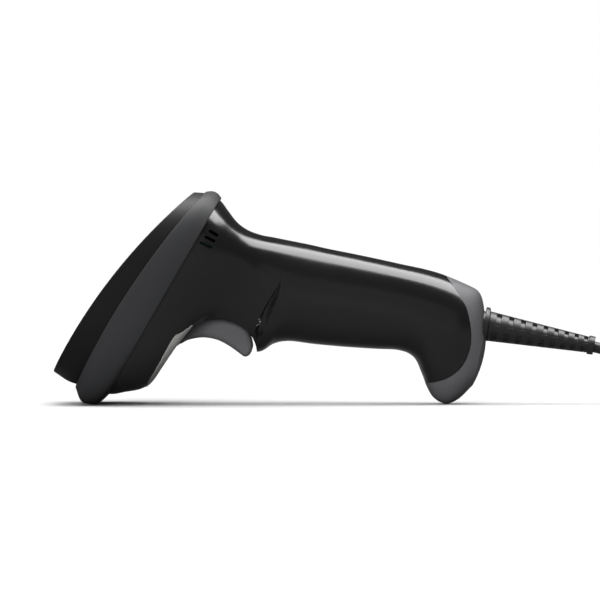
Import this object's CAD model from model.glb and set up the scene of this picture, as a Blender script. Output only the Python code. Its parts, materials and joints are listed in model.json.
# %% [markdown]
# # A pistol-grip barcode scanner
# A counter scanner is a hollow plastic gun: two gloss black half shells joined on the mid-plane,
# a wide scan head with a soft bumper round it, a grey finger trigger under the neck, a grey cap
# over the butt, and a slotted strain relief that leads its thin cable away. The CAD model fixes
# where everything is and how it moves. This script rebuilds the skins that the eye sees as
# smooth quad meshes around that frame, and gives every piece its own finish.

# %% The frame
import json
import math

import bmesh
import bpy
import numpy as np
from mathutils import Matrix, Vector


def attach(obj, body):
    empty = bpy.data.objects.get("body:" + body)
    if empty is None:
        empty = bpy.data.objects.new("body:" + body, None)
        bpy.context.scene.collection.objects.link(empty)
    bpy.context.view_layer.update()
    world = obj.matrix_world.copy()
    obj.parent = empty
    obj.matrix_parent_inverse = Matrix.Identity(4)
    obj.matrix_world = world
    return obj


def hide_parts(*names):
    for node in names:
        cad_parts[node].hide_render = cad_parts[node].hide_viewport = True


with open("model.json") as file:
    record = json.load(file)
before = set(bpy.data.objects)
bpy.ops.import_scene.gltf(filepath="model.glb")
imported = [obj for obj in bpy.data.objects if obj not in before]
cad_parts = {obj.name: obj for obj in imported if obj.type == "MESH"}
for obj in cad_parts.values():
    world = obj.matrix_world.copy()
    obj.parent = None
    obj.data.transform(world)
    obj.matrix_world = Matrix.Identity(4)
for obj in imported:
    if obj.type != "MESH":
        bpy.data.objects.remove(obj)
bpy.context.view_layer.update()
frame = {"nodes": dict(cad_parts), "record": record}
nodes = frame["nodes"]
MM = 0.001

# %% [markdown]
# ## Camera first
# The scanner is seen square from its side, with the head to the left. A long lens far away keeps
# that side view almost free of perspective. The camera comes first because the lead's hidden
# coil has to lie where this view doesn't reach.

# %% Camera
VIEW_CENTRE = Vector((12.2, 0.0, 41.4)) * MM
VIEW_WIDTH = 240.0 * MM
CAMERA_DISTANCE = 2.5
CAMERA_ELEVATION = math.radians(1.0)

camera_data = bpy.data.cameras.new("camera")
camera_data.sensor_width = 36.0
camera_data.lens = camera_data.sensor_width * CAMERA_DISTANCE / VIEW_WIDTH
camera = bpy.data.objects.new("camera", camera_data)
camera.location = VIEW_CENTRE + CAMERA_DISTANCE * Vector((0.0, -math.cos(CAMERA_ELEVATION),
                                                            math.sin(CAMERA_ELEVATION)))
camera.rotation_euler = (math.pi / 2 - CAMERA_ELEVATION, 0.0, 0.0)
bpy.context.scene.collection.objects.link(camera)
bpy.context.scene.camera = camera
print("lens", round(camera_data.lens, 1), "mm")

# %% [markdown]
# ## Cross-sections
# The handle and hood are one flowing form. A boat builder would describe it by stations: closed
# cross-sections, each standing on the side view's outline. Every station here has a top point
# and a bottom point (x, z in millimetres), a half-width and a squareness, where 2 is an ellipse
# and 4 is nearly a rounded rectangle. The CAD model is lofted through the same stations.

# %% Stations
HANDLE_STATIONS = [
    ((-22.4, 81.9), (-69.6, 6.2), 31.2, 4.1),
    ((-19.5, 81.0), (-63.5, 4.0), 31.6, 4.0),
    ((-16.6, 77.2), (-57.5, 4.8), 31.0, 3.8),
    ((-13.2, 72.4), (-51.0, 6.1), 29.2, 3.5),
    ((-9.0, 69.3), (-46.5, 9.4), 26.2, 3.2),
    ((-3.5, 67.4), (-41.3, 17.8), 22.6, 3.0),
    ((1.0, 66.6), (-36.2, 23.4), 19.8, 2.8),
    ((6.0, 65.6), (-27.0, 22.8), 18.2, 2.7),
    ((11.0, 64.6), (-18.0, 21.7), 17.3, 2.6),
    ((16.0, 63.6), (-9.5, 20.8), 16.8, 2.6),
    ((19.5, 62.8), (-3.4, 20.9), 16.5, 2.6),
    ((23.0, 62.0), (1.8, 24.0), 16.2, 2.6),
    ((28.0, 61.0), (8.0, 25.0), 16.0, 2.6),
    ((35.0, 59.6), (18.0, 23.8), 15.8, 2.6),
    ((44.0, 57.7), (30.0, 22.7), 15.6, 2.6),
    ((53.0, 55.7), (42.0, 21.9), 15.5, 2.6),
    ((61.5, 53.9), (52.0, 21.3), 15.5, 2.6),
    ((68.0, 52.1), (57.8, 18.4), 15.4, 2.6),
    ((73.5, 50.0), (61.0, 11.8), 15.3, 2.6),
    ((78.5, 47.8), (63.0, 6.6), 15.0, 2.6),
    ((82.8, 45.6), (65.8, 2.2), 14.4, 2.5),
    ((84.9, 42.6), (70.4, 0.0), 13.4, 2.4),
    ((86.0, 37.0), (75.4, 1.7), 11.4, 2.3),
    ((86.5, 30.8), (81.2, 7.2), 8.2, 2.2),
]
BUMPER_STATIONS = [
    ((-19.2, 82.2), (-64.1, 3.8), 32.8, 4.0),
    ((-20.8, 84.1), (-67.5, 0.8), 33.5, 4.1),
    ((-22.6, 84.9), (-71.4, 0.0), 33.8, 4.2),
    ((-24.2, 84.9), (-75.2, 1.4), 33.8, 4.2),
    ((-25.6, 84.7), (-77.4, 7.0), 33.0, 4.2),
]
BEZEL_STATIONS = [
    ((-24.6, 84.1), (-76.4, 7.8), 32.2, 4.2),
    ((-28.6, 84.4), (-80.2, 9.2), 32.2, 4.2),
    ((-32.2, 84.6), (-84.2, 11.8), 31.6, 4.2),
    ((-38.4, 85.0), (-89.6, 15.6), 30.2, 4.2),
]


def station_table(stations):
    """One row a station: top x, top z, bottom x, bottom z, half-width, squareness."""
    rows = np.array([[*top, *bottom, width, squareness] for top, bottom, width, squareness in stations])
    before, after = 2 * rows[0] - rows[1], 2 * rows[-1] - rows[-2]
    return np.vstack([before, rows, after])


def blended(table, place):
    """Rows between the stations: a Catmull-Rom curve through every column."""
    start = np.clip(np.floor(place).astype(int), 0, len(table) - 4)
    u = (place - start)[:, None]
    a, b, c, d = table[start], table[start + 1], table[start + 2], table[start + 3]
    return 0.5 * (2 * b + (c - a) * u + (2 * a - 5 * b + 4 * c - d) * u**2 + (3 * b - a - 3 * c + d) * u**3)


# %% [markdown]
# ## A skin as two numbers
# Every point of a skin is named by two numbers: the station it stands at, and how far round the
# section it lies, from 0 at the top to 1 at the bottom. Walking round by length and not by angle
# keeps the quads even, so that highlights run smoothly over them.

# %% Skin points
ROUND_SAMPLES = 96


def section_points(table, place, turn, side):
    """Points at stations and turns (0 top, 1 bottom), in metres; side is -1 near or +1 far."""
    rows = blended(table, place)
    top = np.stack([rows[:, 0], np.zeros(len(rows)), rows[:, 1]], 1)
    bottom = np.stack([rows[:, 2], np.zeros(len(rows)), rows[:, 3]], 1)
    half = np.linalg.norm(top - bottom, axis=1) / 2
    up = (top - bottom) / (2 * half)[:, None]
    width, power = rows[:, 4], rows[:, 5]

    def on_section(angle, half, width, power):
        across, rise = np.maximum(np.sin(angle), 0), np.cos(angle)
        reach = ((across / width) ** power + (np.abs(rise) / half) ** power) ** (-1 / power)
        return reach * across, reach * rise

    angles = np.linspace(0, math.pi, ROUND_SAMPLES)[None, :]
    across, rise = on_section(angles, half[:, None], width[:, None], power[:, None])
    steps = np.hypot(np.diff(across, axis=1), np.diff(rise, axis=1))
    walked = np.concatenate([np.zeros((len(rows), 1)), np.cumsum(steps, 1)], 1)
    walked /= walked[:, -1:]
    index = np.clip((walked < turn[:, None]).sum(1) - 1, 0, ROUND_SAMPLES - 2)
    line = np.arange(len(rows))
    low, high = walked[line, index], walked[line, index + 1]
    angle = (index + (turn - low) / np.maximum(high - low, 1e-9)) * math.pi / (ROUND_SAMPLES - 1)
    across, rise = on_section(np.clip(angle, 0, math.pi), half, width, power)
    points = (top + bottom) / 2 + up * rise[:, None]
    points[:, 1] = side * across
    return points * MM


def eased(table):
    """The stations with their changes spread over their neighbours."""
    rows = table.copy()
    for _ in range(4):
        rows[1:-1] = (rows[:-2] + 2 * rows[1:-1] + rows[2:]) / 4
    return rows


def skin_points(table, place, turn, side):
    """Exact at the outline of the side view, and eased on the flanks, where a station shouldn't show."""
    exact = section_points(table, place, turn, side)
    soft = section_points(eased(table), place, turn, side)
    share = np.clip(np.minimum(turn / 0.2, (0.74 - turn) / 0.2), 0, 1)
    share = (share * share * (3 - 2 * share))[:, None]
    return exact * (1 - share) + soft * share


def crossing(table, turn, side, outside, low, high):
    """The station where a skin line first has outside(points) > 0, by halving the interval."""
    low, high = np.full(len(turn), float(low)), np.full(len(turn), float(high))
    for _ in range(30):
        middle = (low + high) / 2
        beyond = outside(skin_points(table, middle, turn, side)) > 0
        high, low = np.where(beyond, middle, high), np.where(beyond, low, middle)
    return (low + high) / 2


# %% [markdown]
# ## From points to pieces
# Three small helpers turn rows of points into Blender meshes. One weaves a grid of quads, one
# turns it so that its faces look outwards, and one gives a thin sheet its wall and rounds its
# edges with modifiers, which is how an injection mould leaves them.

# %% Mesh helpers
def add_mesh(name, points, faces):
    mesh = bpy.data.meshes.new(name)
    mesh.from_pydata([tuple(point) for point in points], [], [tuple(face) for face in faces])
    mesh.update()
    piece = bpy.data.objects.new(name, mesh)
    bpy.context.scene.collection.objects.link(piece)
    return piece


def weave(rows, columns, closed):
    """Quads between rows of points; closed joins the last column to the first."""
    last = columns if closed else columns - 1
    faces = []
    for row in range(rows - 1):
        for column in range(last):
            after = (column + 1) % columns
            faces.append((row * columns + column, row * columns + after,
                          (row + 1) * columns + after, (row + 1) * columns + column))
    return faces


def closed_weave(rows, columns):
    """Quads between rings, with the last ring joined to the first, as on a tube with a bore."""
    last = (rows - 1) * columns
    joins = [(last + i, last + (i + 1) % columns, (i + 1) % columns, i) for i in range(columns)]
    return weave(rows, columns, True) + joins


def face_outwards(piece, centre):
    """Turn the whole sheet over if most of it looks at its centre."""
    mesh = piece.data
    outward = sum(face.area * face.normal.dot(face.center - centre) for face in mesh.polygons)
    if outward < 0:
        mesh.flip_normals()


def turn_outwards(piece, split_large=False):
    """Turn every face of a closed piece outwards, after splitting the ones with many corners if asked."""
    mesh = bmesh.new()
    mesh.from_mesh(piece.data)
    if split_large:
        bmesh.ops.triangulate(mesh, faces=[face for face in mesh.faces if len(face.verts) > 4])
    bmesh.ops.recalc_face_normals(mesh, faces=mesh.faces)
    mesh.to_mesh(piece.data)
    mesh.free()
    return piece


def smooth_by_angle(piece, degrees=35.0):
    mesh = piece.data
    mesh.polygons.foreach_set("use_smooth", [True] * len(mesh.polygons))
    mesh.set_sharp_from_angle(angle=math.radians(degrees))


def wall_and_round(piece, wall, radius, segments=3, angle=40.0):
    """A wall inwards from the sheet, then rounded rims."""
    if wall:
        solidify = piece.modifiers.new("wall", "SOLIDIFY")
        solidify.thickness = wall * MM
        solidify.offset = -1.0
        solidify.use_even_offset = False
    bevel = piece.modifiers.new("rounded rims", "BEVEL")
    bevel.width = radius * MM
    bevel.segments = segments
    bevel.limit_method = "ANGLE"
    bevel.angle_limit = math.radians(angle)
    bevel.harden_normals = False
    return finished(piece)


def finished(piece):
    """Apply the modifiers, so that what follows sees plain geometry."""
    graph = bpy.context.evaluated_depsgraph_get()
    mesh = bpy.data.meshes.new_from_object(piece.evaluated_get(graph))
    piece.modifiers.clear()
    piece.data = mesh
    smooth_by_angle(piece)
    return piece


def stand_for(piece, node, body="scanner"):
    """The piece takes a CAD node's place on its body."""
    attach(piece, body)
    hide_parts(node)
    print(piece.name, len(piece.data.polygons), "faces")


# %% [markdown]
# ## Shader groups
# Moulded plastic is never perfectly smooth. Its skin carries a fine grain from the spark-eroded
# mould, or a faint orange peel where it is polished, and handling adds a few hairline scratches
# and a little dust. Two node groups hold these effects, and each material sets its own amounts.

# %% Grain group
def new_group(name, inputs, outputs):
    group = bpy.data.node_groups.new(name, "ShaderNodeTree")
    for label, default in inputs:
        socket = group.interface.new_socket(label, in_out="INPUT", socket_type="NodeSocketFloat")
        socket.default_value = default
    for label, kind in outputs:
        group.interface.new_socket(label, in_out="OUTPUT", socket_type=kind)
    return group, group.nodes.new("NodeGroupInput"), group.nodes.new("NodeGroupOutput")


def math_node(tree, operation, first, second):
    node = tree.nodes.new("ShaderNodeMath")
    node.operation = operation
    for socket, value in zip(node.inputs, (first, second)):
        if isinstance(value, (int, float)):
            socket.default_value = value
        else:
            tree.links.new(value, socket)
    return node.outputs[0]


def noise_node(tree, vector, scale, detail=2.0, roughness=0.5, stretch=None):
    if stretch:
        mapping = tree.nodes.new("ShaderNodeMapping")
        mapping.inputs["Scale"].default_value = stretch
        tree.links.new(vector, mapping.inputs["Vector"])
        vector = mapping.outputs["Vector"]
    noise = tree.nodes.new("ShaderNodeTexNoise")
    noise.inputs["Detail"].default_value = detail
    noise.inputs["Roughness"].default_value = roughness
    tree.links.new(vector, noise.inputs["Vector"])
    if isinstance(scale, (int, float)):
        noise.inputs["Scale"].default_value = scale
    else:
        tree.links.new(scale, noise.inputs["Scale"])
    return noise.outputs["Fac"]


def make_grain_group():
    """Height of a moulded grain and its slight change of gloss."""
    inputs = [("Size mm", 0.4), ("Depth", 1.0), ("Gloss change", 0.05)]
    outputs = [("Height", "NodeSocketFloat"), ("Gloss shift", "NodeSocketFloat")]
    tree, given, result = new_group("moulded_grain", inputs, outputs)
    place = tree.nodes.new("ShaderNodeTexCoord").outputs["Object"]
    scale = math_node(tree, "DIVIDE", 1000.0, given.outputs["Size mm"])
    grain = noise_node(tree, place, scale, 3.0, 0.55)
    swell = noise_node(tree, place, 45.0, 2.0)
    height = math_node(tree, "MULTIPLY", grain, given.outputs["Depth"])
    centred = math_node(tree, "SUBTRACT", swell, 0.5)
    shift = math_node(tree, "MULTIPLY", centred, given.outputs["Gloss change"])
    tree.links.new(height, result.inputs["Height"])
    tree.links.new(shift, result.inputs["Gloss shift"])
    return tree


def make_handling_group():
    """Masks of hairline scratches and of settled dust, both from 0 to 1."""
    tree, given, result = new_group("handling_marks", [("Scratches", 0.3), ("Dust", 0.1)],
                                    [("Scratch mask", "NodeSocketFloat"), ("Dust mask", "NodeSocketFloat")])
    coordinates = tree.nodes.new("ShaderNodeTexCoord")
    place = coordinates.outputs["Object"]
    hair = noise_node(tree, place, 320.0, 1.0, 0.4, stretch=(1.0, 6.0, 0.08))
    cross = noise_node(tree, place, 260.0, 1.0, 0.4, stretch=(0.08, 5.0, 1.0))
    lines = math_node(tree, "MAXIMUM", math_node(tree, "GREATER_THAN", hair, 0.715),
                      math_node(tree, "GREATER_THAN", cross, 0.72))
    patches = math_node(tree, "GREATER_THAN", noise_node(tree, place, 60.0), 0.5)
    worn = math_node(tree, "MULTIPLY", lines, patches)
    scratches = math_node(tree, "MULTIPLY", worn, given.outputs["Scratches"])
    specks = math_node(tree, "GREATER_THAN", noise_node(tree, place, 1500.0, 2.0, 0.6), 0.745)
    facing_up = tree.nodes.new("ShaderNodeSeparateXYZ")
    tree.links.new(coordinates.outputs["Normal"], facing_up.inputs[0])
    upward = math_node(tree, "MAXIMUM", facing_up.outputs["Z"], 0.0)
    dust = math_node(tree, "MULTIPLY", math_node(tree, "MULTIPLY", specks, upward), given.outputs["Dust"])
    tree.links.new(scratches, result.inputs["Scratch mask"])
    tree.links.new(dust, result.inputs["Dust mask"])
    return tree


GRAIN_GROUP = make_grain_group()
HANDLING_GROUP = make_handling_group()

# %% [markdown]
# ## Finishes
# Every plastic and rubber on the scanner is the same recipe with its own numbers: a base colour,
# a gloss, a grain size and how much handling shows. Metals, boards and glass follow with recipes
# of their own. Numbers that don't vary over the surface sit on the shader's own sockets.

# %% Plastic and rubber
def new_material(name):
    material = bpy.data.materials.new(name)
    material.use_nodes = True
    return material, material.node_tree, material.node_tree.nodes["Principled BSDF"]


def place_group(tree, group, **amounts):
    node = tree.nodes.new("ShaderNodeGroup")
    node.node_tree = group
    for label, amount in amounts.items():
        node.inputs[label.replace("_", " ")].default_value = amount
    return node


def mixed_colour(tree, mask, first, second):
    mix = tree.nodes.new("ShaderNodeMix")
    mix.data_type = "RGBA"
    tree.links.new(mask, mix.inputs[0])
    mix.inputs[6].default_value = (*first, 1.0)
    if isinstance(second, tuple):
        mix.inputs[7].default_value = (*second, 1.0)
    else:
        tree.links.new(second, mix.inputs[7])
    return mix.outputs[2]


def add_bump(tree, shader, height, distance_mm):
    bump = tree.nodes.new("ShaderNodeBump")
    bump.inputs["Strength"].default_value = 1.0
    bump.inputs["Distance"].default_value = distance_mm * MM
    tree.links.new(height, bump.inputs["Height"])
    tree.links.new(bump.outputs["Normal"], shader.inputs["Normal"])


def moulded(name, colour, gloss, grain_mm, depth_mm, scratches=0.3, dust=0.1, coat=0.0, specular=0.5):
    """A moulded plastic or rubber: gloss is its roughness, 0 polished to 1 matt."""
    material, tree, shader = new_material(name)
    grain = place_group(tree, GRAIN_GROUP, Size_mm=grain_mm, Depth=1.0, Gloss_change=0.12)
    marks = place_group(tree, HANDLING_GROUP, Scratches=scratches, Dust=dust)
    lighter = tuple(min(1.0, channel * 1.6 + 0.03) for channel in colour)
    base = mixed_colour(tree, marks.outputs["Dust mask"], colour, lighter)
    tree.links.new(base, shader.inputs["Base Color"])
    shift = math_node(tree, "ADD", grain.outputs["Gloss shift"], gloss)
    scuffed = math_node(tree, "MULTIPLY", marks.outputs["Scratch mask"], 0.25)
    roughness = math_node(tree, "ADD", shift, scuffed)
    tree.links.new(roughness, shader.inputs["Roughness"])
    add_bump(tree, shader, grain.outputs["Height"], depth_mm)
    shader.inputs["Specular IOR Level"].default_value = specular
    shader.inputs["Coat Weight"].default_value = coat
    shader.inputs["Coat Roughness"].default_value = 0.12
    return material


FINISH = {
    "housing": moulded("gloss_black_abs", (0.0085, 0.0085, 0.0090), 0.20, 1.1, 0.003, 0.08, 0.12),
    "bezel": moulded("bezel_black_abs", (0.0042, 0.0042, 0.0045), 0.55, 0.9, 0.004, 0.1, 0.1, specular=0.3),
    "bumper": moulded("bumper_rubber", (0.0255, 0.0258, 0.0275), 0.62, 0.35, 0.02, 0.15, 0.35, specular=0.35),
    "grey_plastic": moulded("grey_textured_plastic", (0.11, 0.11, 0.116), 0.58, 0.42, 0.018, 0.2, 0.1,
                            specular=0.35),
    "label": moulded("blank_label_film", (0.42, 0.42, 0.4), 0.3, 0.6, 0.003, 0.2, 0.05),
    "seal": moulded("foam_seal", (0.02, 0.02, 0.02), 0.85, 0.5, 0.08, 0.0, 0.2),
    "black_plastic": moulded("engine_black_plastic", (0.018, 0.018, 0.019), 0.5, 0.4, 0.015, 0.1, 0.1),
    "chip": moulded("chip_epoxy", (0.03, 0.03, 0.032), 0.6, 0.2, 0.01, 0.0, 0.05),
    "connector": moulded("connector_nylon", (0.72, 0.7, 0.64), 0.45, 0.5, 0.006, 0.0, 0.05),
    "flex": moulded("flex_film", (0.62, 0.36, 0.1), 0.25, 0.8, 0.002, 0.0, 0.05),
    "led": moulded("red_led_epoxy", (0.6, 0.03, 0.02), 0.12, 1.0, 0.002, 0.0, 0.0, coat=0.5),
    "cord": moulded("black_pvc", (0.013, 0.013, 0.014), 0.42, 0.5, 0.008, 0.2, 0.2),
}
print("finishes:", sorted(FINISH))

# %% Metals, boards and glass
def metal(name, colour, gloss, brushed):
    """A metal whose gloss wanders along its brushed or turned direction."""
    material, tree, shader = new_material(name)
    place = tree.nodes.new("ShaderNodeTexCoord").outputs["Object"]
    lines = noise_node(tree, place, 900.0, 3.0, 0.6, stretch=brushed)
    shader.inputs["Base Color"].default_value = (*colour, 1.0)
    shader.inputs["Metallic"].default_value = 1.0
    spread = math_node(tree, "MULTIPLY", lines, 0.25)
    tree.links.new(math_node(tree, "ADD", spread, gloss - 0.12), shader.inputs["Roughness"])
    add_bump(tree, shader, lines, 0.006)
    return material


def circuit_board():
    """Green solder mask with faint copper tracks under it."""
    material, tree, shader = new_material("board_solder_mask")
    place = tree.nodes.new("ShaderNodeTexCoord").outputs["Object"]
    tracks = noise_node(tree, place, 700.0, 0.0, 0.5, stretch=(0.15, 1.0, 0.4))
    edge = math_node(tree, "GREATER_THAN", tracks, 0.54)
    colour = mixed_colour(tree, edge, (0.003, 0.045, 0.018), (0.007, 0.09, 0.036))
    tree.links.new(colour, shader.inputs["Base Color"])
    shader.inputs["Roughness"].default_value = 0.25
    add_bump(tree, shader, edge, 0.03)
    return material


def clear(name, colour, gloss, ior):
    """Clear moulding or glass, with faint unevenness in its gloss."""
    material, tree, shader = new_material(name)
    place = tree.nodes.new("ShaderNodeTexCoord").outputs["Object"]
    smears = noise_node(tree, place, 70.0, 3.0)
    shader.inputs["Base Color"].default_value = (*colour, 1.0)
    shader.inputs["Transmission Weight"].default_value = 1.0
    shader.inputs["IOR"].default_value = ior
    spread = math_node(tree, "MULTIPLY", smears, 0.04)
    tree.links.new(math_node(tree, "ADD", spread, gloss), shader.inputs["Roughness"])
    return material


FINISH["steel"] = metal("zinc_plated_steel", (0.55, 0.55, 0.56), 0.3, (1.0, 0.1, 1.0))
FINISH["brass"] = metal("turned_brass", (0.72, 0.5, 0.22), 0.25, (1.0, 0.1, 1.0))
FINISH["plug_metal"] = metal("nickel_plated_shell", (0.66, 0.65, 0.62), 0.2, (0.3, 0.3, 1.0))
FINISH["gold"] = metal("gold_plate", (0.9, 0.62, 0.22), 0.2, (0.3, 0.3, 1.0))
FINISH["mirror"] = metal("front_silvered_mirror", (0.92, 0.92, 0.93), 0.14, (1.0, 1.0, 1.0))
FINISH["board"] = circuit_board()
FINISH["window"] = clear("scan_window_acrylic", (0.75, 0.74, 0.74), 0.02, 1.49)
FINISH["lens"] = clear("lens_glass", (0.9, 0.95, 0.96), 0.0, 1.52)
FINISH["clear_plastic"] = clear("modular_plug_polycarbonate", (0.8, 0.83, 0.85), 0.06, 1.58)

for row in frame["record"]["subparts"]:
    node = nodes[row["node"]]
    node.data.materials.clear()
    node.data.materials.append(FINISH[row["material_slot"]])


def dress(piece, slot):
    piece.data.materials.clear()
    piece.data.materials.append(FINISH[slot])


# %% [markdown]
# ## The housing halves
# Each half is a sheet from under the bumper back to the butt cap's seam, and from the top seam
# round to the bottom seam. The arch over the trigger is cut from the sheet before it gets its
# wall: faces under the arch are left out, and the points next to them slide onto the arch
# line, which gives a clean curved rim for the bevel to round. A boolean cut would do it too, but
# it leaves slivers that no bevel rounds well.

# %% Lines on the side view
ARCH = [(-36.4, 22.5), (-35.2, 26.5), (-32.1, 30.0), (-28.0, 32.8), (-21.9, 34.4),
        (-16.8, 33.6), (-11.7, 31.3), (-8.1, 28.5), (-5.8, 24.6), (-5.0, 20.4)]
CAP_SEAM = [(70.9, 50.6), (75.2, 44.3), (78.7, 37.9), (80.4, 28.7), (79.8, 21.6),
            (76.7, 15.0), (71.6, 10.8), (66.6, 9.0), (61.0, 8.2)]
SEAM_GAP = 0.12
SEAM_BETWEEN = (16, 22)
SEAM_CLEARANCE = 0.02


def curve_through(points, samples=400):
    """A smooth line through side-view points, in metres."""
    given = np.array(points, float)
    table = np.vstack([2 * given[0] - given[1], given, 2 * given[-1] - given[-2]])
    return blended(table, np.linspace(0, len(given) - 1.000001, samples)) * MM


arch_line = curve_through([(-38.6, 10.0), (-37.3, 17.0)] + ARCH + [(-4.8, 15.0), (-4.7, 8.0)])
seam_line = curve_through(CAP_SEAM)


def past_seam(points):
    """How far a point lies beyond the butt cap's seam."""
    order = np.argsort(seam_line[:, 1])
    return points[:, 0] - np.interp(points[:, 2], seam_line[order, 1], seam_line[order, 0])


def under_arch(points):
    """Positive inside the arch, negative on the housing: distance to the arch line."""
    flat = points[:, [0, 2]]
    distance = np.linalg.norm(flat[:, None, :] - arch_line[None, :, :], axis=2).min(1)
    order = np.argsort(arch_line[:, 0])
    roof = np.interp(flat[:, 0], arch_line[order, 0], arch_line[order, 1], left=-1.0, right=-1.0)
    return np.where(flat[:, 1] < roof, distance, -distance)


# %% The leaf-shaped crease
LEAF_FRONT = [(5.2, 50.2), (1.5, 44.0), (-1.7, 38.9), (-4.2, 33.0), (-5.2, 28.4), (-4.0, 23.4)]
LEAF_BACK = [(5.2, 50.2), (3.6, 43.6), (1.2, 36.8), (-1.2, 30.6), (-2.6, 26.4), (-4.0, 23.4)]
LEAF_DEPTH = 1.7
leaf_front, leaf_back = curve_through(LEAF_FRONT), curve_through(LEAF_BACK)


def leaf_depth(points):
    """Depth of the crease: steep at its front edge, rising gently to its back edge."""
    def edge_x(line):
        order = np.argsort(line[:, 1])
        return np.interp(points[:, 2], line[order, 1], line[order, 0], left=1.0, right=1.0)
    front, back = edge_x(leaf_front), edge_x(leaf_back)
    width = np.maximum(back - front, 1e-6)
    along = (points[:, 0] - front) / width
    inside = (along > 0) & (along < 1) & (front < 0.9)
    steep = 0.2
    profile = np.where(along < steep, np.sin(along / steep * math.pi / 2),
                       np.cos((along - steep) / (1 - steep) * math.pi / 2))
    slim = np.clip(width / (3.2 * MM), 0, 1)
    return np.where(inside, profile * slim, 0.0) * LEAF_DEPTH * MM


# %% Weaving a half
HALF_ROWS, HALF_COLUMNS = 260, 110
HOUSING_WALL = 2.2


def slide_to_arch(table, place, turn, side, inside, moving):
    """Move chosen inside points along a grid line, towards a neighbour outside, onto the arch line."""
    place_grid, turn_grid = place.reshape(HALF_ROWS, HALF_COLUMNS), turn.reshape(HALF_ROWS, HALF_COLUMNS)
    inside_grid = inside.reshape(HALF_ROWS, HALF_COLUMNS)
    row, column = np.divmod(moving, HALF_COLUMNS)
    start = skin_points(table, place[moving], turn[moving], side)
    best = np.full(len(moving), np.inf)
    new_place, new_turn = place[moving].copy(), turn[moving].copy()
    for step_row, step_column in ((1, 0), (-1, 0), (0, 1), (0, -1), (1, 1), (1, -1), (-1, 1), (-1, -1)):
        to_row, to_column = row + step_row, column + step_column
        real = (to_row >= 0) & (to_row < HALF_ROWS) & (to_column >= 0) & (to_column < HALF_COLUMNS)
        to_row, to_column = np.clip(to_row, 0, HALF_ROWS - 1), np.clip(to_column, 0, HALF_COLUMNS - 1)
        real &= ~inside_grid[to_row, to_column]
        far_place, far_turn = place_grid[to_row, to_column], turn_grid[to_row, to_column]
        low, high = np.zeros(len(moving)), np.ones(len(moving))
        for _ in range(14):
            middle = (low + high) / 2
            here_place = place[moving] + (far_place - place[moving]) * middle
            here_turn = turn[moving] + (far_turn - turn[moving]) * middle
            still_in = under_arch(skin_points(table, here_place, here_turn, side)) > 0
            low, high = np.where(still_in, middle, low), np.where(still_in, high, middle)
        moved = np.linalg.norm(skin_points(table, here_place, here_turn, side) - start, axis=1)
        better = real & (moved < best)
        best = np.where(better, moved, best)
        new_place, new_turn = np.where(better, here_place, new_place), np.where(better, here_turn, new_turn)
    place[moving], turn[moving] = new_place, new_turn


def row_spacing(count):
    """Rows from 0 to 1, three times closer together at the crease."""
    samples = np.linspace(0, 1, 2000)
    density = np.where((samples > 0.26) & (samples < 0.41), 3.0, 1.0)
    walked = np.concatenate([[0], np.cumsum((density[1:] + density[:-1]) / 2)])
    return np.interp(np.linspace(0, 1, count), walked / walked[-1], samples)


def half_shell(name, side):
    table = station_table(HANDLE_STATIONS)
    round_about = np.linspace(0, 1, HALF_COLUMNS)
    seam = crossing(table, round_about, side, past_seam, *SEAM_BETWEEN) - SEAM_CLEARANCE
    rows = row_spacing(HALF_ROWS)[:, None]
    place = (rows * seam[None, :]).ravel()
    turn = np.tile(round_about, HALF_ROWS)
    inside = under_arch(skin_points(table, place, turn, side)) > 0

    faces = [face for face in weave(HALF_ROWS, HALF_COLUMNS, False) if not inside[list(face)].all()]
    used = np.zeros(len(place), bool)
    used[np.unique(np.array(faces))] = True
    slide_to_arch(table, place, turn, side, inside, np.flatnonzero(inside & used))
    points = skin_points(table, place, turn, side)
    points[:, 1] += side * (SEAM_GAP / 2) * MM * (np.abs(points[:, 1]) < 1e-9)

    piece = add_mesh(name, points, faces)
    clean_up(piece)
    face_outwards(piece, Vector((0.0, 0.0, 42.0 * MM)))
    press_leaf(piece)
    return piece


def clean_up(piece):
    """Drop loose points and join the ones that met on the arch line."""
    mesh = bmesh.new()
    mesh.from_mesh(piece.data)
    bmesh.ops.remove_doubles(mesh, verts=mesh.verts, dist=0.02 * MM)
    bmesh.ops.delete(mesh, geom=[vert for vert in mesh.verts if not vert.link_faces], context="VERTS")
    mesh.to_mesh(piece.data)
    mesh.free()


def press_leaf(piece):
    mesh = piece.data
    points = np.zeros(len(mesh.vertices) * 3)
    normals = np.zeros(len(mesh.vertices) * 3)
    mesh.vertices.foreach_get("co", points)
    mesh.vertex_normals.foreach_get("vector", normals)
    points, normals = points.reshape(-1, 3), normals.reshape(-1, 3)
    points -= normals * leaf_depth(points)[:, None]
    mesh.vertices.foreach_set("co", points.ravel())
    mesh.update()


# %% Sound slots
SOUND_SLOTS = [((-23.3, 69.1), (-20.7, 67.5)), ((-25.0, 66.8), (-21.9, 65.2)), ((-26.9, 64.6), (-23.1, 62.7))]
SLOT_WIDTH = 1.1


def slot_cutter(low, high):
    """A round-ended bar through the near wall."""
    start, end = np.array(low), np.array(high)
    along = (end - start) / np.linalg.norm(end - start)
    aside = np.array([-along[1], along[0]])
    outline = []
    for centre, first in ((end, -math.pi / 2), (start, math.pi / 2)):
        for step in range(9):
            angle = first + math.pi * step / 8
            outline.append(centre + SLOT_WIDTH / 2 * (math.cos(angle) * along + math.sin(angle) * aside))
    count = len(outline)
    points = [(x * MM, y * MM, z * MM) for y in (-36.0, -16.0) for x, z in outline]
    faces = [tuple(range(count)), tuple(range(2 * count - 1, count - 1, -1))]
    faces += [(i, count + i, count + (i + 1) % count, (i + 1) % count) for i in range(count)]
    cutter = add_mesh("slot_cutter", points, faces)
    turn_outwards(cutter)
    return cutter


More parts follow.
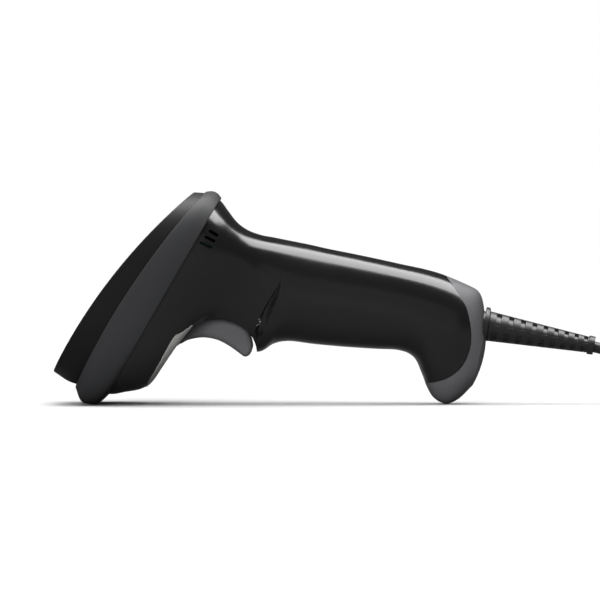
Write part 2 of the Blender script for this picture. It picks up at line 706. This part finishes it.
def cut_slots(piece):
    for low, high in SOUND_SLOTS:
        cutter = slot_cutter(low, high)
        boolean = piece.modifiers.new("slot", "BOOLEAN")
        boolean.object = cutter
        boolean.solver = "EXACT"
        finished(piece)
        bpy.data.objects.remove(cutter)


near_half = half_shell("housing_near", -1)
wall_and_round(near_half, HOUSING_WALL, 0.25)
cut_slots(near_half)
dress(near_half, "housing")
stand_for(near_half, "housing_left")

far_half = half_shell("housing_far", 1)
wall_and_round(far_half, HOUSING_WALL, 0.25)
dress(far_half, "housing")
stand_for(far_half, "housing_right")

# %% [markdown]
# ## Label
# A glossy label of thin film is stuck on the head's lower back, where the skin bends from the
# underside to the flanks. It takes the skin's own points, so that it bends exactly as
# the housing does, and stands 0.2 mm proud of it. It is left blank.

# %% Label
LABEL_STATIONS = (3.35, 5.0)
LABEL_REACH = 0.37
LABEL_CORNER = 0.16


def label_film():
    table = station_table(HANDLE_STATIONS)
    across = np.linspace(-1, 1, 41)
    rings = []
    for step in np.linspace(-1, 1, 33):
        along = np.mean(LABEL_STATIONS) + step * np.diff(LABEL_STATIONS)[0] / 2
        corner = max(abs(step) - (1 - 2 * LABEL_CORNER), 0) / (2 * LABEL_CORNER)
        reach = LABEL_REACH * (1 - LABEL_CORNER * (1 - math.sqrt(max(1 - corner**2, 0))))
        turn = 1 - np.abs(across) * reach
        ring = np.empty((len(across), 3))
        for side in (-1, 1):
            chosen = np.sign(across + 1e-9) == side
            ring[chosen] = skin_points(table, np.full(chosen.sum(), along), turn[chosen], side)
        rings.append(ring)
    piece = add_mesh("label_film", np.vstack(rings), weave(len(rings), len(across), False))
    face_outwards(piece, Vector((-30.0, 0.0, 40.0)) * MM)
    solidify = piece.modifiers.new("film", "SOLIDIFY")
    solidify.thickness = 0.25 * MM
    solidify.offset = 0.6
    return finished(piece)


label = label_film()
dress(label, "label")
stand_for(label, "label_plate")

# %% [markdown]
# ## Butt cap
# The cap wraps the end of the handle like a thimble. It is the same skin, carried on from the
# seam to the last station, then closed by shrinking that last ring in a few steps.

# %% Butt cap
CAP_COLUMNS, CAP_ROWS = 72, 70
CAP_WALL = 2.2
END_CROWN = 1.9
END_OUT = np.array([0.975, 0.0, -0.219])


def round_turns(columns):
    """Turns for a whole ring: down the near side, then back up the far side."""
    down = np.linspace(0, 1, columns)
    turns = np.concatenate([down, down[-2:0:-1]])
    sides = np.concatenate([-np.ones(columns), np.ones(columns - 2)])
    return turns, sides


def butt_cap():
    table = station_table(HANDLE_STATIONS)
    turns, sides = round_turns(CAP_COLUMNS)
    seam = crossing(table, turns, 1, past_seam, *SEAM_BETWEEN) + SEAM_CLEARANCE
    last = len(HANDLE_STATIONS) - 1.000001
    rows = [seam + (last - seam) * step for step in np.linspace(0, 1, CAP_ROWS)]
    rings = [skin_points(table, row, turns, sides) for row in rows]
    centre = rings[-1].mean(0)
    for keep in (0.985, 0.95, 0.88, 0.77, 0.62, 0.45, 0.25):
        rise = END_CROWN * (1 - keep**2) * MM
        rings.append(centre + (rings[CAP_ROWS - 1] - centre) * keep + rise * END_OUT)
    points = np.vstack(rings + [[centre + END_CROWN * MM * END_OUT]])
    columns = len(turns)
    faces = weave(len(rings), columns, True)
    hub, rim = len(points) - 1, (len(rings) - 1) * columns
    faces += [(rim + i, rim + (i + 1) % columns, hub) for i in range(columns)]
    points[:, 2] = np.maximum(points[:, 2], 0.0)
    piece = add_mesh("butt_cap_skin", points, faces)
    face_outwards(piece, Vector((70.0 * MM, 0.0, 28.0 * MM)))
    return piece


cap = wall_and_round(butt_cap(), CAP_WALL, 0.3)
dress(cap, "grey_plastic")
stand_for(cap, "butt_cap")

# %% [markdown]
# ## Bumper
# The bumper is a soft band, thin at the top and thick at the bottom, where it takes the scanner's
# weight. It is one closed sheet between its own stations, with a thick wall and well rounded rims.

# %% Bumper
HEAD_COLUMNS = 90


def banded(name, stations, rows, columns, start=0.0, end=None):
    """A closed band between two stations."""
    table = station_table(stations)
    turns, sides = round_turns(columns)
    last = len(stations) - 1.000001 if end is None else end
    rings = [skin_points(table, np.full(len(turns), place), turns, sides)
             for place in np.linspace(start, last, rows)]
    points = np.vstack(rings)
    points[:, 2] = np.maximum(points[:, 2], 0.0)
    piece = add_mesh(name, points, weave(rows, len(turns), True))
    face_outwards(piece, Vector((-47.0, 0.0, 43.0)) * MM)
    return piece


def bow_front(piece, rows):
    """The front rim bows forwards between top and bottom, along with the bezel's dome."""
    points = np.array([vert.co[:] for vert in piece.data.vertices])
    forward = np.repeat(np.linspace(0, 1, rows), len(points) // rows)
    height = np.clip((points[:, 2] / MM - 7.0) / 77.0, 0, 1)
    points += np.outer(forward**1.5 * 4 * height * (1 - height) * FRONT_BOW * MM, FACE_OUT)
    piece.data.vertices.foreach_set("co", points.ravel())
    piece.data.update()


FACE_TILT = math.radians(36.0)
FACE_UP = np.array([math.sin(FACE_TILT), 0, math.cos(FACE_TILT)])
FACE_OUT = np.array([-math.cos(FACE_TILT), 0, math.sin(FACE_TILT)])
FRONT_BOW = 3.2
BUMPER_ROWS = 17
BUMPER_WALL = 2.4
bumper = banded("bumper_band", BUMPER_STATIONS, BUMPER_ROWS, HEAD_COLUMNS)
bow_front(bumper, BUMPER_ROWS)
wall_and_round(bumper, BUMPER_WALL, 0.6, 4)
dress(bumper, "bumper")
stand_for(bumper, "bumper_ring")

# %% [markdown]
# ## Bezel
# The bezel frames the scan window. Its outside carries on from the bumper, its front edge follows
# one shallow arc from the top of the head to the bottom, and inside that rim a funnel narrows
# to the window, so that nothing shades the scan line.

# %% Bezel
FACE_MIDDLE = 8.0
WINDOW_FRONT = 68.4
MOUTH_HALF = (37.6, 26.6)
WINDOW_HALF = (28.6, 21.6)
DOME = [(-44.0, 76.6), (8.0, 80.2), (60.0, 71.5)]


def dome_height(up):
    """The front edge's arc, as height out of the face against distance up it."""
    return np.polyval(np.polyfit(*zip(*DOME), 2), up)


def past_dome(points):
    return points @ FACE_OUT / MM - dome_height(points @ FACE_UP / MM)


def face_ring(angles, half_height, half_width, power, out=None):
    """A rounded rectangle on the face, at a given height or on the dome."""
    rise, across = np.cos(angles), np.sin(angles)
    reach = (np.abs(rise / half_height) ** power + np.abs(across / half_width) ** power) ** (-1 / power)
    up = FACE_MIDDLE + reach * rise
    height = dome_height(up) if out is None else np.full(len(up), out)
    return (up[:, None] * FACE_UP + height[:, None] * FACE_OUT + np.outer(reach * across, [0, 1, 0])) * MM


def bezel():
    table = station_table(BEZEL_STATIONS)
    turns, sides = round_turns(HEAD_COLUMNS)
    edge = crossing(table, turns, 1, past_dome, 0, 2.999)
    outside = [skin_points(table, edge * step, turns, sides) for step in np.linspace(0, 1, 16)]
    rim = outside[-1]
    angles = np.arctan2(rim[:, 1] / MM, rim @ FACE_UP / MM - FACE_MIDDLE)
    mouth = face_ring(angles, *MOUTH_HALF, 7.0)
    window = face_ring(angles, *WINDOW_HALF, 9.0, WINDOW_FRONT)
    across_rim = []
    for step in np.linspace(0, 1, 5)[1:]:
        between = rim + (mouth - rim) * step
        height = dome_height(between @ FACE_UP / MM) - between @ FACE_OUT / MM
        across_rim.append(between + np.outer(height * MM, FACE_OUT))
    funnel = [mouth + (window - mouth) * step for step in np.linspace(0, 1, 9)[1:]]
    seat = [window - 1.8 * MM * FACE_OUT]
    rings = outside + across_rim + funnel + seat
    piece = add_mesh("bezel_skin", np.vstack(rings), weave(len(rings), len(turns), True))
    face_outwards(piece, Vector((-47.0, 0.0, 43.0)) * MM)
    return piece


bezel_piece = wall_and_round(bezel(), 0.0, 1.1, 4, 28.0)
dress(bezel_piece, "bezel")
stand_for(bezel_piece, "front_bezel")

# %% [markdown]
# ## Trigger
# The trigger is a thick grey lever with a hollow for one finger. Its side view is one closed
# line. The piece stacks copies of that line across its width, each drawn in a little towards the
# sides, which rounds every edge as a moulded part is rounded.

# %% Trigger
FINGER_EDGE = [(-36.2, 24.1), (-32.1, 25.7), (-26.5, 26.6), (-20.9, 25.7), (-16.3, 23.4), (-12.7, 20.9),
               (-9.9, 19.0)]
TRIGGER_REST = [(-7.8, 19.9), (-6.6, 22.9), (-7.2, 26.4), (-9.0, 30.0), (-13.0, 33.2), (-20.0, 35.2),
                (-27.0, 35.8), (-32.0, 36.2), (-35.4, 34.2), (-36.6, 29.0)]
TRIGGER_HALF_WIDTH = 10.8
TRIGGER_EDGE = 2.4


def closed_line(points, samples):
    """Evenly spaced points on a closed smooth line."""
    given = np.array(points, float)
    table = np.vstack([given[-1], given, given[0], given[1]])
    fine = blended(table, np.linspace(0, len(given) - 1e-6, samples * 8))
    walked = np.concatenate([[0], np.cumsum(np.linalg.norm(np.diff(fine, axis=0), axis=1))])
    even = np.linspace(0, walked[-1], samples, endpoint=False)
    return np.stack([np.interp(even, walked, fine[:, 0]), np.interp(even, walked, fine[:, 1])], 1)


def edge_share(line):
    """How much of the full rounding each point takes: less where the line turns tightly."""
    ahead = np.roll(line, -1, 0) - line
    heading = np.arctan2(ahead[:, 1], ahead[:, 0])
    turn = np.abs((heading - np.roll(heading, 1) + math.pi) % (2 * math.pi) - math.pi)
    radius = np.linalg.norm(ahead, axis=1) / np.maximum(turn, 1e-6)
    share = np.clip(0.7 * radius / TRIGGER_EDGE, 0.12, 1.0)
    for _ in range(4):
        share = np.minimum(share, np.minimum(np.roll(share, 1), np.roll(share, -1)))
    for _ in range(6):
        share = (share + np.roll(share, 1) + np.roll(share, -1)) / 3
    return share[:, None]


def drawn_in(line, amount):
    """The line moved inwards."""
    along = np.roll(line, -1, 0) - np.roll(line, 1, 0)
    along /= np.linalg.norm(along, axis=1)[:, None]
    inward = np.stack([-along[:, 1], along[:, 0]], 1)
    area = np.sum(line[:, 0] * np.roll(line[:, 1], -1) - np.roll(line[:, 0], -1) * line[:, 1])
    return line + inward * amount * edge_share(line) * (1 if area > 0 else -1)


def lever():
    outline = closed_line(FINGER_EDGE + TRIGGER_REST, 160)
    quarter = np.linspace(0, math.pi / 2, 7)
    steps = [(TRIGGER_HALF_WIDTH - TRIGGER_EDGE * (1 - math.sin(angle)), TRIGGER_EDGE * (1 - math.cos(angle)))
             for angle in quarter]
    layers = [(-y, inset) for y, inset in reversed(steps)] + steps
    loops = []
    for y, inset in layers:
        line = drawn_in(outline, inset)
        loops.append(np.stack([line[:, 0], np.full(len(line), y), line[:, 1]], 1) * MM)
    count = len(outline)
    faces = weave(len(loops), count, True)
    faces += [tuple(range(count)), tuple(range((len(loops) - 1) * count, len(loops) * count))[::-1]]
    piece = add_mesh("trigger_lever", np.vstack(loops), faces)
    turn_outwards(piece, split_large=True)
    smooth_by_angle(piece)
    return piece


trigger = lever()
dress(trigger, "grey_plastic")
stand_for(trigger, "trigger", "trigger")

# %% [markdown]
# ## The lead
# A scanner's lead is soft PVC, 4.5 mm thick and a little under 2 m long. Only its first
# centimetres are seen. The rest is put away as a coil in four layers, each wound in or out by a
# turn spacing a little over the lead's own thickness, so that no turn lies inside another. One
# NURBS spline runs through it all. It cuts every corner of its control points, which is what
# makes it hang like a cable and not like bent wire.

# %% The lead's route
LEAD_DIAMETER = 4.5
LEAD_START = [(87.5, 0.0, 31.0), (94.0, 0.0, 29.8), (108.0, 0.0, 27.16), (124.0, 0.0, 24.1),
              (142.2, 0.0, 19.6)]
LEAD_END = [(209.6, 10.6, 2.4), (214.6, 18.1, 3.6), (218.9, 23.7, 4.3)]
COIL_CENTRE = (176.0, 18.5)
COIL_START = -120.0
COIL_RADII = (32.9, 19.1)
COIL_LAYERS = (16.1, 11.5, 6.9, 2.3)
COIL_TURNS = 11.25
TURN_POINTS = 16
LAYER_CHANGE = 0.1


def coil_points():
    """Control points of the wound turns: each layer spirals, then drops at the end of its run."""
    steps = int(COIL_TURNS * TURN_POINTS)
    points = []
    for step in range(steps + 1):
        angle = math.radians(COIL_START) + 2 * math.pi * step / TURN_POINTS
        layer = min(step / steps * len(COIL_LAYERS), len(COIL_LAYERS) - 1e-6)
        index, part = int(layer), layer - int(layer)
        start, end = COIL_RADII if index % 2 == 0 else COIL_RADII[::-1]
        wound = min(max((part - LAYER_CHANGE / 2) / (1 - LAYER_CHANGE), 0.0), 1.0)
        radius = start + (end - start) * wound
        height = COIL_LAYERS[index]
        if index > 0 and part < LAYER_CHANGE / 2:
            height += (COIL_LAYERS[index - 1] - height) * (0.5 - part / LAYER_CHANGE)
        if index < len(COIL_LAYERS) - 1 and part > 1 - LAYER_CHANGE / 2:
            height += (COIL_LAYERS[index + 1] - height) * (0.5 - (1 - part) / LAYER_CHANGE)
        x = COIL_CENTRE[0] + radius * math.cos(angle)
        y = COIL_CENTRE[1] + radius * math.sin(angle)
        points.append((x, y, height))
    return points


def lead_curve(points):
    curve = bpy.data.curves.new("lead", "CURVE")
    curve.dimensions = "3D"
    curve.resolution_u = 6
    curve.bevel_resolution = 5
    curve.use_fill_caps = True
    spline = curve.splines.new("NURBS")
    spline.points.add(len(points) - 1)
    for point, place in zip(spline.points, points):
        point.co = (*(value * MM for value in place), 1.0)
    spline.order_u = 3
    spline.use_endpoint_u = True
    lead = bpy.data.objects.new("lead", curve)
    bpy.context.scene.collection.objects.link(lead)
    return lead


def centreline(lead):
    """The spline's own line, read before it has its thickness."""
    graph = bpy.context.evaluated_depsgraph_get()
    mesh = bpy.data.meshes.new_from_object(lead.evaluated_get(graph))
    line = np.array([vert.co[:] for vert in mesh.vertices])
    bpy.data.meshes.remove(mesh)
    return line


lead = lead_curve(LEAD_START + coil_points() + LEAD_END)
lead_line = centreline(lead)
lead_length = float(np.linalg.norm(np.diff(lead_line, axis=0), axis=1).sum())
lead.data.bevel_depth = LEAD_DIAMETER / 2 * MM
dress(lead, "cord")
print("lead length", round(lead_length, 3), "m")

# %% [markdown]
# ## Strain relief
# The strain relief keeps the lead from kinking where it leaves the butt. It is a tapered rubber
# sleeve with a row of slots on its upper sides and a row of windows lower down, a part of a pitch
# before them, so that it bends like a chain of rings. On the real part they go right through. Here
# they are pockets, so that no light leaks through the thin wall. Each ring of the mesh carries its
# slot number as an attribute, and a Geometry Nodes tree presses the wall in wherever that number
# and the place round the sleeve fall inside a slot. The same tree would slot a sleeve of any length.

# %% Slotting tree
BOOT_BASE = np.array([87.4, 0.0, 31.0])
BOOT_DROP = math.radians(10.55)
BOOT_AXIS = np.array([math.cos(BOOT_DROP), 0.0, -math.sin(BOOT_DROP)])
BOOT_UP = np.array([math.sin(BOOT_DROP), 0.0, math.cos(BOOT_DROP)])


def along_boot(distance, radius, angles):
    """A ring round the boot's axis; angle 0 is its top."""
    across = np.outer(np.sin(angles), [0, 1, 0]) + np.outer(np.cos(angles), BOOT_UP)
    return (BOOT_BASE + distance * BOOT_AXIS + radius * across) * MM


def tree_math(tree, operation, first, second=None):
    node = tree.nodes.new("ShaderNodeMath")
    node.operation = operation
    for socket, value in zip(node.inputs, (first, second)):
        if isinstance(value, (int, float)):
            socket.default_value = value
        elif value is not None:
            tree.links.new(value, socket)
    return node.outputs[0]


def named_number(tree, name):
    node = tree.nodes.new("GeometryNodeInputNamedAttribute")
    node.data_type = "FLOAT"
    node.inputs["Name"].default_value = name
    return node.outputs["Attribute"]


def slotting_tree():
    """Presses a slot into every pitch, and a lower window a part of a pitch before it."""
    tree = bpy.data.node_groups.new("slotted_sleeve", "GeometryNodeTree")
    tree.interface.new_socket("Geometry", in_out="INPUT", socket_type="NodeSocketGeometry")
    inputs = (("Slot share", 0.4), ("Slot from", 14.0), ("Slot to", 80.0), ("Window from", 112.0),
              ("Window to", 168.0), ("Window lead", 0.2), ("Slots", 9.0), ("Depth", 0.0013))
    for label, default in inputs:
        socket = tree.interface.new_socket(label, in_out="INPUT", socket_type="NodeSocketFloat")
        socket.default_value = default
    tree.interface.new_socket("Finish", in_out="INPUT", socket_type="NodeSocketMaterial")
    tree.interface.new_socket("Geometry", in_out="OUTPUT", socket_type="NodeSocketGeometry")
    given, result = tree.nodes.new("NodeGroupInput"), tree.nodes.new("NodeGroupOutput")
    pitch, angle = named_number(tree, "pitch"), named_number(tree, "from_top")

    def opening(lead_by, start, end):
        phase = tree_math(tree, "FRACT", tree_math(tree, "ADD", pitch, lead_by))
        off_middle = tree_math(tree, "ABSOLUTE", tree_math(tree, "SUBTRACT", phase, 0.5))
        half_share = tree_math(tree, "MULTIPLY", given.outputs["Slot share"], 0.5)
        in_slot = tree_math(tree, "LESS_THAN", off_middle, half_share)
        between = tree_math(tree, "MULTIPLY", tree_math(tree, "GREATER_THAN", angle, start),
                            tree_math(tree, "LESS_THAN", angle, end))
        return tree_math(tree, "MULTIPLY", in_slot, between)

    slot = opening(0.0, given.outputs["Slot from"], given.outputs["Slot to"])
    window = opening(given.outputs["Window lead"], given.outputs["Window from"], given.outputs["Window to"])
    slotted = tree_math(tree, "MULTIPLY", tree_math(tree, "GREATER_THAN", pitch, 0.0),
                        tree_math(tree, "LESS_THAN", pitch, given.outputs["Slots"]))
    any_slot = tree_math(tree, "MAXIMUM", slot, window)
    chosen = tree_math(tree, "GREATER_THAN", tree_math(tree, "MULTIPLY", any_slot, slotted), 0.5)

    press = tree.nodes.new("GeometryNodeExtrudeMesh")
    press.mode = "FACES"
    press.inputs["Individual"].default_value = False
    realize = tree.nodes.new("GeometryNodeRealizeInstances")
    finish = tree.nodes.new("GeometryNodeSetMaterial")
    tree.links.new(given.outputs["Geometry"], press.inputs["Mesh"])
    tree.links.new(chosen, press.inputs["Selection"])
    tree.links.new(tree_math(tree, "MULTIPLY", given.outputs["Depth"], -1.0), press.inputs["Offset Scale"])
    tree.links.new(press.outputs["Mesh"], realize.inputs["Geometry"])
    tree.links.new(realize.outputs["Geometry"], finish.inputs["Geometry"])
    tree.links.new(given.outputs["Finish"], finish.inputs["Material"])
    tree.links.new(finish.outputs["Geometry"], result.inputs["Geometry"])
    return tree


def set_inputs(modifier, **values):
    """Set a tree's inputs by name, through each socket's identifier."""
    sockets = {item.name: item.identifier for item in modifier.node_group.interface.items_tree
               if item.in_out == "INPUT"}
    for label, value in values.items():
        modifier[sockets[label.replace("_", " ")]] = value


# %% The slotted sleeve
BOOT_LENGTH, BOOT_RADII, BORE_RADIUS = 43.2, (6.0, 3.05), 2.3
BOOT_SLOTS, FIRST_SLOT, SLOT_PITCH, PITCH_FALL = 9, 1.2, 5.1, 0.16
ROWS_A_PITCH, SLEEVE_COLUMNS = 10, 64


def slot_place(number):
    """How far along the sleeve a slot number lies: the pitch falls from slot to slot."""
    return FIRST_SLOT + SLOT_PITCH * number - PITCH_FALL * number * (number - 1) / 2


def sleeve():
    numbers = np.arange(BOOT_SLOTS * ROWS_A_PITCH + 1) / ROWS_A_PITCH
    places = [0.0] + list(slot_place(numbers)) + [BOOT_LENGTH - 2.3, BOOT_LENGTH - 2.2, BOOT_LENGTH]
    numbers = [-1.0] + list(numbers) + [BOOT_SLOTS + 1.0] * 3
    angles = np.linspace(0, 2 * math.pi, SLEEVE_COLUMNS, endpoint=False) + math.pi / SLEEVE_COLUMNS
    rings, pitches = [], []
    for place, number in zip(places, numbers):
        if rings and place <= pitches[-1][0] + 1e-6:
            continue
        radius = BOOT_RADII[0] + (BOOT_RADII[1] - BOOT_RADII[0]) * place / BOOT_LENGTH
        if place > BOOT_LENGTH - 2.25:
            radius += 0.6
        rings.append(along_boot(place, radius, angles))
        pitches.append((place, number))
    for place in (BOOT_LENGTH, 0.0):
        rings.append(along_boot(place, BORE_RADIUS, angles))
        pitches.append((place, -1.0))
    faces = closed_weave(len(rings), SLEEVE_COLUMNS)
    piece = add_mesh("strain_relief", np.vstack(rings), faces)
    from_top = np.degrees(np.abs((angles + math.pi) % (2 * math.pi) - math.pi))
    for name, values in (("pitch", np.repeat([number for _, number in pitches], SLEEVE_COLUMNS)),
                         ("from_top", np.tile(from_top, len(rings)))):
        attribute = piece.data.attributes.new(name, "FLOAT", "POINT")
        attribute.data.foreach_set("value", values)
    return turn_outwards(piece)


boot = sleeve()
slots = boot.modifiers.new("slots", "NODES")
slots.node_group = slotting_tree()
set_inputs(slots, Slot_share=0.4, Slot_from=14.0, Slot_to=80.0, Window_from=112.0, Window_to=168.0,
           Window_lead=0.2, Slots=float(BOOT_SLOTS), Depth=1.1 * MM, Finish=FINISH["cord"])
wall_and_round(boot, 0.0, 0.16, 2)
stand_for(boot, "cable_boot")

# %% The collar
COLLAR_PROFILE = [(0.0, 2.4), (0.0, 5.2), (0.0, 6.6), (-0.15, 7.1), (-0.5, 7.35), (-0.9, 7.4), (-1.8, 7.4),
                  (-1.8, 5.7), (-1.8, 5.6), (-3.0, 5.6), (-7.8, 5.6), (-7.8, 2.4)]
COLLAR_COLUMNS = 72
collar_angles = np.linspace(0, 2 * math.pi, COLLAR_COLUMNS, endpoint=False)
collar_rings = [along_boot(place, radius, collar_angles) for place, radius in COLLAR_PROFILE]
collar_faces = closed_weave(len(collar_rings), COLLAR_COLUMNS)
collar = add_mesh("lead_collar", np.vstack(collar_rings), collar_faces)
face_outwards(collar, Vector((BOOT_BASE - 3 * BOOT_AXIS) * MM))
wall_and_round(collar, 0.0, 0.15, 2)
dress(collar, "cord")
stand_for(collar, "cable_collar")

# %% Declaring the lead
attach(lead, "scanner")
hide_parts("cord_lead", "cord_coil", "cord_tail")

# %% [markdown]
# ## Floor and light
# A plain white floor runs out to a white world, so that only the scanner and its contact shadow
# show. One long soft box above and behind the handle draws the highlight along its upper side.
# Gloss black plastic shows its lights more than its colour: its sides go dark because there is
# little to reflect there.

# %% Floor
def camera_sees(tree, others, own, output):
    """The camera sees one shader, and every other ray meets the other."""
    rays, choose = tree.nodes.new("ShaderNodeLightPath"), tree.nodes.new("ShaderNodeMixShader")
    tree.links.new(rays.outputs["Is Camera Ray"], choose.inputs[0])
    tree.links.new(others.outputs[0], choose.inputs[1])
    tree.links.new(own.outputs[0], choose.inputs[2])
    tree.links.new(choose.outputs[0], output.inputs["Surface"])


def floor_material():
    material, tree, shader = new_material("pale_floor")
    place = tree.nodes.new("ShaderNodeTexCoord").outputs["Object"]
    tone = noise_node(tree, place, 3.0, 1.0)
    colour = mixed_colour(tree, tone, (0.86, 0.86, 0.86), (0.9, 0.9, 0.9))
    tree.links.new(colour, shader.inputs["Base Color"])
    shader.inputs["Roughness"].default_value = 0.9
    shader.inputs["Specular IOR Level"].default_value = 0.0
    dark = tree.nodes.new("ShaderNodeBsdfDiffuse")
    dark.inputs["Color"].default_value = (0.2, 0.2, 0.2, 1.0)
    camera_sees(tree, dark, shader, tree.nodes["Material Output"])
    return material


floor = add_mesh("floor", [(-30, -30, 0), (30, -30, 0), (30, 30, 0), (-30, 30, 0)], [(0, 1, 2, 3)])
floor.data.materials.append(floor_material())
floor.location.z = -0.0002
print("floor at", round(floor.location.z / MM, 2), "mm")


# %% Lights
def soft_box(name, place, aim, size, power, seen_in_gloss):
    """An area light that either shows in gloss or lights the surface's own colour."""
    light = bpy.data.lights.new(name, "AREA")
    light.shape = "RECTANGLE"
    light.size, light.size_y = size
    light.energy = power
    lamp = bpy.data.objects.new(name, light)
    lamp.location = place
    lamp.rotation_euler = (Vector(aim) - Vector(place)).to_track_quat("-Z", "Y").to_euler()
    lamp.visible_camera = False
    lamp.visible_glossy = seen_in_gloss
    lamp.visible_diffuse = not seen_in_gloss
    bpy.context.scene.collection.objects.link(lamp)
    return lamp


soft_box("highlight", (0.25, 0.02, 0.75), (0.25, 0.02, 0.0), (1.5, 0.62), 29.0, True)
soft_box("horizon_card", (0.0, -2.2, 0.35), (0.0, 0.0, 0.05), (3.0, 0.9), 1.6, True)
soft_box("front_fill", (-0.4, -1.5, 0.32), (0.0, 0.0, 0.04), (0.9, 0.5), 19.0, False)
sun_data = bpy.data.lights.new("wide_overhead", "SUN")
sun_data.energy = 3.4
sun_data.angle = math.radians(84.0)
sun = bpy.data.objects.new("wide_overhead", sun_data)
sun.visible_glossy = False
bpy.context.scene.collection.objects.link(sun)

world = bpy.data.worlds.new("studio")
bpy.context.scene.world = world
world.use_nodes = True
sky = world.node_tree
sky.nodes.clear()
dim, bright = sky.nodes.new("ShaderNodeBackground"), sky.nodes.new("ShaderNodeBackground")
dim.inputs["Color"].default_value = (0.75, 0.75, 0.75, 1.0)
dim.inputs["Strength"].default_value = 0.09
bright.inputs["Color"].default_value = (1.0, 1.0, 1.0, 1.0)
bright.inputs["Strength"].default_value = 1.0
camera_sees(sky, dim, bright, sky.nodes.new("ShaderNodeOutputWorld"))
bpy.context.scene.view_settings.view_transform = "Standard"
print("lights:", sorted(light.name for light in bpy.data.lights))
